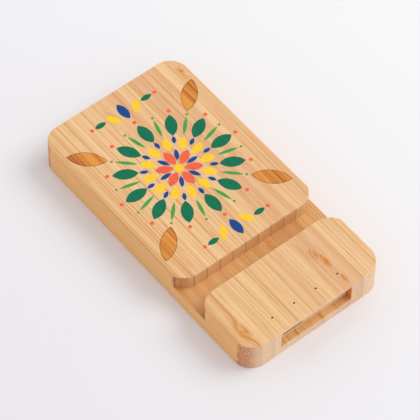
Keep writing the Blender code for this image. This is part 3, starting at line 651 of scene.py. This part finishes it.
usb_c_low, usb_c_high = corners_of("usb_c_shell")
micro_low, micro_high = corners_of("micro_usb_shell")
cap_low, cap_high = corners_of("button_cap")
head_half_width = 2.3
head_low, head_high = (-head_half_width, *cap_low[1:]), (head_half_width, *cap_high[1:])
combine(block, add_box("port_recess", (-recess_half_width, front_y - over, recess_floor),
                       (recess_half_width, recess_back, recess_roof)))
windows = ((usb_c_low, usb_c_high, 1.86, 8), (micro_low, micro_high, 0, 0), (head_low, head_high, 0.8, 6))
for low, high, corner, segments in windows:
    combine(block, outline_bar("window", low, high, gap, corner, recess_back - over, bay_front + over,
                               segments))

drill(block, add_cylinder("pinhole", 0.4, (0, 0, 11.5), 4, sides=20), light_spots)
drill(block, add_cylinder("pilot", 1.3, (0, 0, 1.7), 4.8, sides=20), cover_screw_spots)
drill(block, add_cylinder("board_pilot", 1.15, (0, 0, 10.4), 3.2, sides=20), board_screw_spots)
print("block has", len(block.data.polygons), "faces")

# %% [markdown]
# The recess's mouth gets the lightest touch of sandpaper. The walls of the pinholes take the
# charred finish, which is a second material on just those faces.

# %% Ease the recess's mouth and char the pinholes
def at_recess_mouth(edge):
    """True for the recess's own edges on the front end."""
    spots = [vert.co / mm for vert in edge.verts]
    return all(abs(y - front_y) < 0.01 and abs(x) < recess_half_width + 0.1
               and recess_floor - 0.1 < z < recess_roof + 0.1 for x, y, z in spots)


print("edges at the mouth:", bevel_edges(block, at_recess_mouth, 0.12, 2))

block.data.materials.append(planed_bamboo)
block.data.materials.append(charred)
charred_faces = 0
for face in block.data.polygons:
    near = any(math.dist(face.center.xy / mm, spot[:2]) < 0.5 for spot in light_spots)
    if near and face.center.z > recess_roof * mm and abs(face.normal.z) < 0.5:
        face.material_index = 1
        charred_faces += 1
print("charred faces:", charred_faces)
smooth(block)
fit(block, planed_bamboo, "housing", "bamboo", "bamboo_body")

# %% [markdown]
# ## The cover
# The cover is a thin bamboo board let into the rebate, with six countersunk holes. A countersink is
# a cylinder into which bisects cut rings of edges, and whose lower rim is then widened to a cone.

# %% The cover and its countersinks
def divide(piece, heights):
    """Cuts rings of edges into a piece at these heights."""
    only(piece)
    bpy.ops.object.mode_set(mode="EDIT")
    for height in heights:
        bpy.ops.mesh.select_all(action="SELECT")
        bpy.ops.mesh.bisect(plane_co=(0, 0, height * mm), plane_no=(0, 0, 1))
    leave()


def resize_ring(piece, test, ratio):
    """Draws the vertices that pass the test in or out round the Z axis."""
    choose(piece, "VERT", test)
    bpy.ops.transform.resize(value=(ratio, ratio, 1), center_override=(0, 0, 0))
    leave()


cover = rounded_box("cover_board", cover_low, cover_high, 4.7, segments=12)
bevel_edges(cover, is_outer_corner, 0.25, 2)
shank_radius, rim_radius, rim_height, cone_top = 1.3, 2.2, 0.5, 1.4
countersink = add_cylinder("countersink", shank_radius, (0, 0, -over), 5)
divide(countersink, [rim_height, cone_top])
resize_ring(countersink, lambda v: v.co.z < (rim_height + 0.01) * mm, rim_radius / shank_radius)
drill(cover, countersink, cover_screw_spots)
smooth(cover)
fit(cover, cover_bamboo, "housing", "cover_bamboo", "bottom_cover")

# %% [markdown]
# ## Simple finishes
# Moulded plastic, plated metal, foam and tape all vary a little from place to place, in colour, in
# gloss and in height. One recipe serves them all: two close colours and two close degrees of gloss
# follow the same noise, whose lumps have the size of that material's own grain.

# %% One recipe for fine-grained materials
def grained(name, light, dark, grain, gloss, relief, **more):
    """A material whose colour, roughness and height follow lumps of the grain's size in millimetres."""
    material, place = new_material(name)
    noise = lumps(material, place, grain if isinstance(grain, tuple) else (grain,) * 3, 3.0)
    share = add(material, "MapRange", {"Value": noise, "From Min": 0.3, "From Max": 0.7})
    return shade(material, {
        "Base Color": lay(material, colour(light), (share, dark)),
        "Roughness": add(material, "MapRange", {"Value": noise, "To Min": gloss[0], "To Max": gloss[1]}),
        "Normal": add(material, "Bump", {"Strength": 0.6, "Distance": relief * mm, "Height": noise}),
        **{key.replace("_", " "): value for key, value in more.items()}})


# Zinc plated steel has a cool grey shine with faint clouds; tinned and nickel plated sheet is brighter
zinc_steel = grained("zinc_plated_steel", "#c3c8cc", "#9fa5aa", 0.5, (0.25, 0.42), 0.003, Metallic=1.0)
tinned_steel = grained("tinned_deep_drawn_steel", "#d4d5d3", "#bfc0bf", (0.4, 3.0, 0.4), (0.22, 0.34), 0.002,
                       Metallic=1.0)
nickel_strip = grained("rolled_nickel_strip", "#cdc6b8", "#b8b1a3", (0.2, 4.0, 0.2), (0.25, 0.4), 0.003,
                       Metallic=1.0)
gold_plate = grained("gold_plated_contacts", "#e9c46c", "#d8ad50", 0.3, (0.2, 0.32), 0.001, Metallic=1.0)
# Glass-filled socket plastic and moulded ABS keep the grain of the spark-eroded mould
socket_plastic = grained("moulded_black_lcp", "#1c1d1f", "#26282a", 0.15, (0.45, 0.6), 0.006, IOR=1.54)
button_plastic = grained("moulded_warm_white_abs", "#ece4d8", "#e2d8c9", 0.3, (0.35, 0.5), 0.005, IOR=1.53)
plunger_plastic = grained("moulded_red_nylon", "#b23a2c", "#9e3024", 0.25, (0.45, 0.6), 0.006, IOR=1.53)
chip_epoxy = grained("moulded_epoxy_chip", "#232426", "#303133", 0.12, (0.55, 0.75), 0.008, IOR=1.55)
# The coil's cover is pressed ferrite powder, the capacitors fired ceramic, the lights cast resin
pressed_ferrite = grained("pressed_ferrite", "#4a4a4b", "#37373a", 0.18, (0.5, 0.7), 0.012, IOR=2.0)
fired_ceramic = grained("fired_ceramic_and_tin", "#b79b7a", "#a38762", 0.3, (0.4, 0.55), 0.004, IOR=1.6)
led_resin = grained("cast_led_resin", "#f3efdc", "#eadfae", 0.35, (0.2, 0.35), 0.002, IOR=1.5,
                    Coat_Weight=0.3)
# Foam and tape are soft and dull, and the leads' silicone is smooth with a faint bloom
foam = grained("closed_cell_eva_foam", "#4b4c4f", "#3b3c3f", 0.35, (0.85, 0.98), 0.05, IOR=1.45)
tape = grained("foam_mounting_tape", "#eeeeea", "#dcdcd6", 0.5, (0.7, 0.9), 0.02, IOR=1.45)
red_silicone = grained("extruded_red_silicone", "#c0281f", "#a81f18", 0.6, (0.35, 0.5), 0.004, IOR=1.42)
black_silicone = grained("extruded_black_silicone", "#1d1d1e", "#28282a", 0.6, (0.35, 0.5), 0.004, IOR=1.42)
print("simple finishes:", len(bpy.data.materials))

# %% [markdown]
# The battery is a pouch of aluminium foil laminated between plastic films. It is silvery and soft,
# with long shallow wrinkles from the vacuum that it was sealed under, so its relief is coarser than
# its sheen. Circuit boards are glass laminate under a coat of solder mask, through which the copper
# tracks show as raised lines a shade lighter.

# %% Pouch foil and circuit board laminate
pouch_foil, place = new_material("aluminium_laminate_pouch")
wrinkles = lumps(pouch_foil, place, (9, 16, 9), 4.0)
sheen = lumps(pouch_foil, place, (0.8, 0.8, 0.8), 2.0)
shade(pouch_foil, {
    "Base Color": lay(pouch_foil, colour("#c2c4c6"), (sheen, "#d3d4d5")), "Metallic": 0.85,
    "Roughness": add(pouch_foil, "MapRange", {"Value": sheen, "To Min": 0.32, "To Max": 0.48}),
    "Normal": add(pouch_foil, "Bump", {"Strength": 0.8, "Distance": 0.5 * mm, "Height": wrinkles})})


def laminate(name, mask, track):
    """Solder mask over copper tracks 0.35 mm wide, laid out on a grid."""
    board, place = new_material(name)
    spot = add(board, "Mapping", {"Vector": place, "Scale": (1000, 1000, 1000), "Location": (0.3, 0.3, 0)})
    tracks = add(board, "TexBrick", {"Vector": spot, "Scale": 1.0, "Mortar Size": 0.18, "Mortar Smooth": 0.2,
                                     "Brick Width": 5.2, "Row Height": 1.3}).outputs["Fac"]
    # A spot is in millimetres here, so lumps of 0.6 mm are given as 600
    speckle = lumps(board, spot, (600, 600, 600), 2.0)
    return shade(board, {
        "Base Color": lay(board, colour(mask[0]), (speckle, mask[1]), (tracks, track)), "IOR": 1.52,
        "Roughness": add(board, "MapRange", {"Value": speckle, "To Min": 0.25, "To Max": 0.42}),
        "Normal": add(board, "Bump", {"Strength": 0.6, "Distance": 0.03 * mm, "Height": tracks})})


green_laminate = laminate("green_solder_mask_laminate", ("#14502f", "#1a5c37"), "#2c7a4c")
black_laminate = laminate("black_solder_mask_laminate", ("#15171a", "#1d2024"), "#30343a")
print("boards:", green_laminate.name, black_laminate.name)

# %% [markdown]
# ## Finishes for the closed-in pieces
# The CAD solids of the battery, the boards and their small parts already have the right shapes, and
# they can only be seen with the cover off. They stay as they are and only take on their finishes.

# %% Give the inner CAD pieces their finishes
inner_finishes = {
    "battery_cell": pouch_foil, "cell_protection_board": green_laminate, "main_board": black_laminate,
    "protection_chip": chip_epoxy, "charge_controller": chip_epoxy, "resistor": chip_epoxy,
    "capacitor": fired_ceramic, "power_inductor": pressed_ferrite, "charge_led": led_resin,
    "cell_tab": nickel_strip, "cell_foam_pad": foam, "mounting_tape": tape,
    "lead_red": red_silicone, "lead_black": black_silicone,
    "switch_housing": socket_plastic, "switch_plunger": plunger_plastic,
    "usb_c_tongue": socket_plastic, "micro_usb_tongue": socket_plastic,
}
dressed = 0
for name, node in nodes.items():
    finish = next((inner_finishes[key] for key in inner_finishes if name.startswith(key)), None)
    if finish:
        for material_slot in node.material_slots:
            material_slot.material = finish
        dressed += 1
print("inner pieces with a finish:", dressed)

# %% [markdown]
# ## Screws
# Six wood screws hold the cover and two pan head screws hold the board. Each is a turned shank with
# a head that has a cross pressed into it. The shank is a cylinder with rings of edges, and every
# other ring is drawn in, which gives it the look of a thread. The cross is two tapered bars.

# %% Wood screws and board screws
def press_cross(screw, span, low_z, depth):
    """Presses a tapered cross into a head whose underside is at low_z."""
    for half_x, half_y in ((span / 2, span / 9), (span / 9, span / 2)):
        bar = add_box("bar", (-half_x, -half_y, low_z - over), (half_x, half_y, low_z + depth))
        resize_ring(bar, lambda v: v.co.z > low_z * mm, 0.55)
        combine(screw, bar)


def place_screws(screw, spots, replaced):
    """Smooths a screw and puts a copy in place of each of these CAD nodes."""
    smooth(screw, 40)
    for piece, name in zip(copies(screw, spots), replaced):
        fit(piece, zinc_steel, "housing", "zinc_steel", name)


length = corners_of(cover_screws[0])[1][2]
screw = add_cylinder("wood_screw", 1.0, (0, 0, 0), length, sides=28)
rings = [1.7, 2.05, 2.4, 2.75, 3.1, 3.45, 3.8, 4.15, 4.5, 4.9]
divide(screw, [0.2, 1.1] + rings)
resize_ring(screw, lambda v: v.co.z < 0.25 * mm, 1.9)
for height in rings[1::2]:
    resize_ring(screw, lambda v: abs(v.co.z - height * mm) < 0.01 * mm, 0.74)
resize_ring(screw, lambda v: v.co.z > (length - 0.1) * mm, 0.12)
press_cross(screw, 2.3, 0.0, 0.8)
place_screws(screw, cover_screw_spots, cover_screws)

low_z, high_z = (corner[2] for corner in corners_of(board_screws[0]))
board_screw = add_cylinder("board_screw_turned", 0.85, (0, 0, low_z), high_z - low_z, sides=28)
head_top = low_z + 1.1
divide(board_screw, [low_z + 0.4, head_top - 0.02, head_top, 11.4, 11.65, 11.9])
resize_ring(board_screw, lambda v: v.co.z < (head_top - 0.01) * mm, 2.0)
resize_ring(board_screw, lambda v: v.co.z < (low_z + 0.3) * mm, 0.78)
resize_ring(board_screw, lambda v: v.co.z > 12.0 * mm, 0.12)
press_cross(board_screw, 1.9, low_z, 0.6)
place_screws(board_screw, board_screw_spots, board_screws)

# %% [markdown]
# ## Sockets
# A socket's shell is drawn from thin sheet: a short tube with a closed back and a rim that is
# slightly rounded. It is made from a box with the socket's outline, whose front face is inset by
# the wall's thickness and pushed back, the way a press does it. The USB-C outline is a rounded bar,
# and the micro-USB one has its two lower corners cut off, so that a plug fits only one way up.

# %% Drawn shells for both sockets
rim_y, shell_wall = usb_c_low[1], 0.3
usb_c_corner, micro_corner = 1.5, 0.45


def draw_shell(shell, depth):
    """Hollows a block from its front face and rounds its rim."""
    choose(shell, "FACE", lambda face: face.normal.y < -0.99)
    bpy.ops.mesh.inset(thickness=shell_wall * mm)
    bpy.ops.mesh.extrude_region_move(TRANSFORM_OT_translate={"value": (0, depth * mm, 0)})
    leave()
    count = bevel_edges(shell, lambda e: all(abs(v.co.y - rim_y * mm) < 1e-6 for v in e.verts), 0.1, 3)
    smooth(shell)
    return count


usb_c = rounded_box("usb_c_drawn_shell", usb_c_low, usb_c_high, usb_c_corner, axis=1, segments=10)
print("USB-C rim edges:", draw_shell(usb_c, 6.75))
fit(usb_c, tinned_steel, "housing", "tinned_steel", "usb_c_shell")

micro = add_box("micro_usb_drawn_shell", micro_low, micro_high)
bevel_edges(micro, lambda e: runs_along(1)(e) and e.verts[0].co.z < 8 * mm, 1.0, 1)
bevel_edges(micro, lambda e: runs_along(1)(e) and is_outer_corner(e), micro_corner, 4)
print("micro-USB rim edges:", draw_shell(micro, 4.8))
fit(micro, tinned_steel, "housing", "tinned_steel", "micro_usb_shell")

# %% [markdown]
# Each socket's blade carries gold plated contacts. They are strips 0.05 mm proud of the blade, set
# out at the pitch of the real sockets: twelve on each face of the USB-C blade at 0.5 mm, and five
# below the micro-USB blade at 0.65 mm.

# %% Gold contacts on the blades
def contact_row(tongue, count, pitch, width, length, low_z, high_z):
    """A row of contacts side by side on a tongue, a little behind the rim."""
    strips = []
    middle, start = spots_of(tongue)[0][0], rim_y + 1.1
    for i in range(count):
        x = middle + (i - (count - 1) / 2) * pitch
        strip = add_box("contact", (x - width / 2, start, low_z), (x + width / 2, start + length, high_z))
        bevel_edges(strip, lambda e: runs_along(0)(e) and e.verts[0].co.y < (start + 0.4) * mm, 0.02, 1)
        strips.append(strip)
    return strips


def join(parts, name):
    """Makes the parts one object with this name."""
    only(*parts)
    bpy.ops.object.join()
    parts[0].name = name
    return parts[0]


usb_c_contacts = join(contact_row("usb_c_tongue", 12, 0.5, 0.26, 3.6, 8.53, 8.6)
                      + contact_row("usb_c_tongue", 12, 0.5, 0.26, 3.6, 7.8, 7.87), "usb_c_contacts")
fit(usb_c_contacts, gold_plate, "housing", "socket_plastic")
micro_contacts = join(contact_row("micro_usb_tongue", 5, 0.65, 0.36, 2.6, 8.22, 8.3), "micro_usb_contacts")
fit(micro_contacts, gold_plate, "housing", "socket_plastic")

# %% [markdown]
# A black rubber gasket fills the gap between each shell and its window in the wall and keeps dust
# out. It is a short ring round the shell, and the larger one also has a thin squarish flange that
# lies on the wall. Both are made as their outline less the shell's.

# %% Gaskets round the shells
def ring_round(name, low, high, corner, reach, outer_corner, front, rear):
    """A ring from just outside a shell's outline out to reach, between two depths."""
    ring_bar = outline_bar(name, low, high, reach, outer_corner, front, rear)
    room = 0.04
    combine(ring_bar, outline_bar("shell_room", low, high, room, corner + room, front - over, rear + over))
    return ring_bar


gasket_rubber = grained("moulded_black_rubber", "#141415", "#1c1c1d", 0.2, (0.7, 0.85), 0.008, IOR=1.5,
                        Specular_IOR_Level=0.3)
gasket_rear = rim_y + 0.7
usb_c_gasket = ring_round("usb_c_gasket", usb_c_low, usb_c_high, usb_c_corner, 0.26, 1.8,
                          recess_back - 0.05, gasket_rear)
combine(usb_c_gasket, ring_round("flange", usb_c_low, usb_c_high, usb_c_corner, 0.48, 0.9,
                                 recess_back - 0.12, recess_back + 0.02), "UNION")
micro_usb_gasket = ring_round("micro_usb_gasket", micro_low, micro_high, micro_corner, 0.26, 0.3,
                              recess_back + 0.15, gasket_rear)
for piece in (usb_c_gasket, micro_usb_gasket):
    smooth(piece)
    fit(piece, gasket_rubber, "housing", "socket_plastic")

# %% [markdown]
# ## The push button
# The cap is one small moulding: a rounded head that a fingertip presses through the wall, and two
# ears behind the wall that keep it in. The head's front edge is well rounded, and its face is
# dished a little so that a fingertip finds it.

# %% The button's cap
face_y, rear_y = cap_low[1], cap_high[1]
cap = outline_bar("button_moulding", head_low, head_high, 0, 0.5, face_y, rear_y, segments=5)
bevel_edges(cap, lambda e: all(v.co.y < (face_y + 0.01) * mm for v in e.verts), 0.15, 3)
choose(cap, "FACE", lambda face: face.normal.y < -0.999 and face.calc_area() > 4 * mm ** 2)
bpy.ops.mesh.inset(thickness=0.2 * mm)
bpy.ops.mesh.extrude_region_move(TRANSFORM_OT_translate={"value": (0, 0.08 * mm, 0)})
leave()
combine(cap, outline_bar("ears", cap_low, cap_high, 0, 0.5, rear_y - 0.6, rear_y, segments=5), "UNION")
smooth(cap)
fit(cap, button_plastic, "button", "cap_plastic", "button_cap")

# %% [markdown]
# ## The printed rosette
# The top is decorated by a flat-bed UV printer, which lays opaque inks straight on the wood and
# hardens them with light. Each ink is a film 0.03 to 0.05 mm thick, so it stands a hair proud, has
# a satin shine, and lets the grain show through as faint ridges. The design is a plain geometric
# rosette: rings of pointed petals round a disc, with four larger lozenges in a stain that the
# grain shows through, and a short row of petals at each end.
#
# A petal with two pointed ends is what two overlapping discs have in common, so it is made as two
# flat cylinders and a Boolean intersection. From its length and width the discs' radius follows
# by Pythagoras. One petal is modelled for each ring and copied round it, and all that is printed
# in one ink is then joined.

# %% Petals, dots and rings
root_z = top_z - 0.02
rosette_middle = (0, 19)


def petal(length, width, thickness):
    """A petal that points along Y, upright at the origin and as high as the top's print."""
    radius = (length * length + width * width) / (4 * width)
    aside, height = radius - width / 2, top_z + thickness - root_z
    first, second = (add_cylinder("petal", radius, (x, 0, root_z), height, sides=180)
                     for x in (-aside, aside))
    combine(first, second, "INTERSECT")
    return first


def dot(radius, thickness):
    """A round dot at the same height."""
    return add_cylinder("dot", radius, (0, 0, root_z), top_z + thickness - root_z, sides=24)


def ring(count, radius, first_angle=0.0):
    """Spots round the rosette's middle, each turned to point outwards."""
    spots = []
    for i in range(count):
        angle = first_angle + 360 * i / count
        spots.append((rosette_middle[0] - radius * math.sin(math.radians(angle)),
                      rosette_middle[1] + radius * math.cos(math.radians(angle)), angle))
    return spots


def end_rows(*places):
    """The same spots beyond the rosette's rear and front, mirrored."""
    return [spot for x, y, angle in places
            for spot in ((x, rosette_middle[1] + y, angle), (x, rosette_middle[1] - y, -angle))]


print("a 4 by 8 mm petal's discs have a radius of", (8 * 8 + 4 * 4) / (4 * 4), "mm")

# %% [markdown]
# The opaque inks share one recipe. The ink's own colour varies very little, and its relief follows
# the fibres beneath, with the same size of lumps as the bamboo. The stain for the lozenges is the
# opposite: its colour follows the fibres strongly, between a clear orange and a burnt brown.

# %% Opaque inks and the stain
def ink(name, code, deeper):
    """UV-cured ink over planed wood."""
    film, place = new_material(name)
    fibres = lumps(film, place, (0.42, 26, 0.42), 2.0, 0.6)
    share = add(film, "MapRange", {"Value": fibres, "From Min": 0.35, "From Max": 0.75})
    return shade(film, {
        "Base Color": lay(film, colour(code), (share, deeper)), "IOR": 1.5, "Specular IOR Level": 0.2,
        "Roughness": add(film, "MapRange", {"Value": fibres, "To Min": 0.36, "To Max": 0.52}),
        "Normal": add(film, "Bump", {"Strength": 0.5, "Distance": 0.05 * mm, "Height": fibres})})


def wood_stain(name, light, dark):
    """A clear stain: the fibres soak it up unevenly, so it darkens them in streaks."""
    stain, place = new_material(name)
    streaks = lumps(stain, place, (0.6, 70, 0.6), 3.0, 0.6)
    broad = lumps(stain, place, (3.0, 90, 3.0), 1.0)
    both = add(stain, "Math", {0: streaks, 1: broad}, operation="ADD")
    share = add(stain, "MapRange", {"Value": both, "From Min": 0.82, "From Max": 1.18})
    return shade(stain, {
        "Base Color": lay(stain, colour(light), (share, dark)), "IOR": 1.5, "Specular IOR Level": 0.3,
        "Roughness": add(stain, "MapRange", {"Value": streaks, "To Min": 0.4, "To Max": 0.55}),
        "Normal": add(stain, "Bump", {"Strength": 0.5, "Distance": 0.05 * mm, "Height": streaks})})


inks = {
    "green_ink": ink("uv_cured_deep_green_ink", "#007450", "#006444"),
    "leaf_ink": ink("uv_cured_light_green_ink", "#4aa548", "#3d923c"),
    "yellow_ink": ink("uv_cured_yellow_ink", "#fdd032", "#f3bf22"),
    "coral_ink": ink("uv_cured_coral_ink", "#f2684a", "#e3573c"),
    "blue_ink": ink("uv_cured_blue_ink", "#064a92", "#043f80"),
    "lozenge_stain": wood_stain("burnt_orange_wood_stain", "#e0963c", "#b35a1c"),
    "lozenge_rim": wood_stain("dark_brown_wood_stain", "#b0702f", "#8a4a18"),
}
print("inks:", ", ".join(inks))

# %% [markdown]
# Each ink gets its own thickness, some thousandths of a millimetre apart, so that no two printed
# faces lie in the same plane where they overlap.

# %% Print the rosette
lozenges = ring(4, 36.4, 45)
# Each ink's thickness, and its shapes: a petal's length and width or a dot's radius, and their spots
design = {
    "green_ink": (0.030, [((10.4, 5.0), ring(12, 21.2)),
                          ((5.4, 2.4), end_rows((11.4, 35.5, 90), (-11.4, 35.5, 90)))]),
    "leaf_ink": (0.036, [((9.0, 1.5), ring(12, 20.9, 15)), ((0.55,), ring(12, 26.6, 15))]),
    "yellow_ink": (0.042, [((6.4, 3.4), ring(12, 12.2, 15)), ((1.9,), ring(1, 0)),
                           ((7.4, 3.1), end_rows((5.7, 34.6, -32), (-5.7, 34.6, 32)))]),
    "coral_ink": (0.048, [((7.4, 3.7), ring(6, 5.9)),
                          ((0.8,), ring(12, 28.4) + end_rows((15.6, 35.5, 0), (-15.6, 35.5, 0)))]),
    "blue_ink": (0.054, [((5.4, 1.9), ring(6, 6.6, 30)), ((3.6, 1.7), ring(12, 13.9)),
                         ((8.6, 3.8), end_rows((0, 35.5, 0)))]),
    "lozenge_stain": (0.026, [((15.4, 6.2), lozenges)]),
    "lozenge_rim": (0.020, [((16.4, 6.8), lozenges)]),
}
for name, (thickness, shapes) in design.items():
    parts = []
    for size, spots in shapes:
        shape = petal(*size, thickness) if len(size) == 2 else dot(*size, thickness)
        parts += copies(shape, spots)
    fit(join(parts, name), inks[name], "housing", "bamboo")

# %% [markdown]
# ## The studio
# The photograph was taken on seamless white paper under one large soft lamp from the right and
# plenty of light from all round, which gives a pale floor and a soft shadow to the left. The lamp
# and the world together light a level surface so that its colour renders about as it is written.

# %% Paper floor with painted falloff, soft lamp and surrounding light
bpy.ops.object.select_all(action="DESELECT")
bpy.ops.mesh.primitive_plane_add(size=6, location=(0, 0, -0.05 * mm))
floor = bpy.context.object
floor.name = "paper_floor"
paper, place = new_material("matte_seamless_paper")
fibres = lumps(paper, place, (1.5, 1.5, 1.5), 3.0)
across = add(paper, "SeparateXYZ", {0: place}).outputs["X"]
# Painted light: the floor's colour runs paler towards the right, standing in for the falloff of the lamp's
# light
painted_falloff = add(paper, "MapRange", {"Value": across, "From Min": -0.22, "From Max": 0.14})
tint = lay(paper, colour("#e1dde1"), (painted_falloff, "#f5f5f4"))
shade(paper, {"Base Color": lay(paper, tint, (fibres, "#fcfcfc"), how="MULTIPLY"), "Roughness": 0.95})
floor.data.materials.append(paper)

lamp_data = bpy.data.lights.new("soft_box", "SUN")
lamp_data.angle, lamp_data.energy = math.radians(38), 1.08
lamp = bpy.data.objects.new("soft_box", lamp_data)
bpy.context.collection.objects.link(lamp)
lamp.location = (0.85, -0.35, 0.95)
lamp.rotation_euler = (-lamp.location).to_track_quat("-Z", "Y").to_euler()

world = bpy.data.worlds.new("studio")
world.use_nodes = True
background = world.node_tree.nodes["Background"]
background.inputs["Color"].default_value = colour("#fcfcff")
background.inputs["Strength"].default_value = 0.83
bpy.context.scene.world = world
bpy.context.scene.view_settings.view_transform = "Standard"
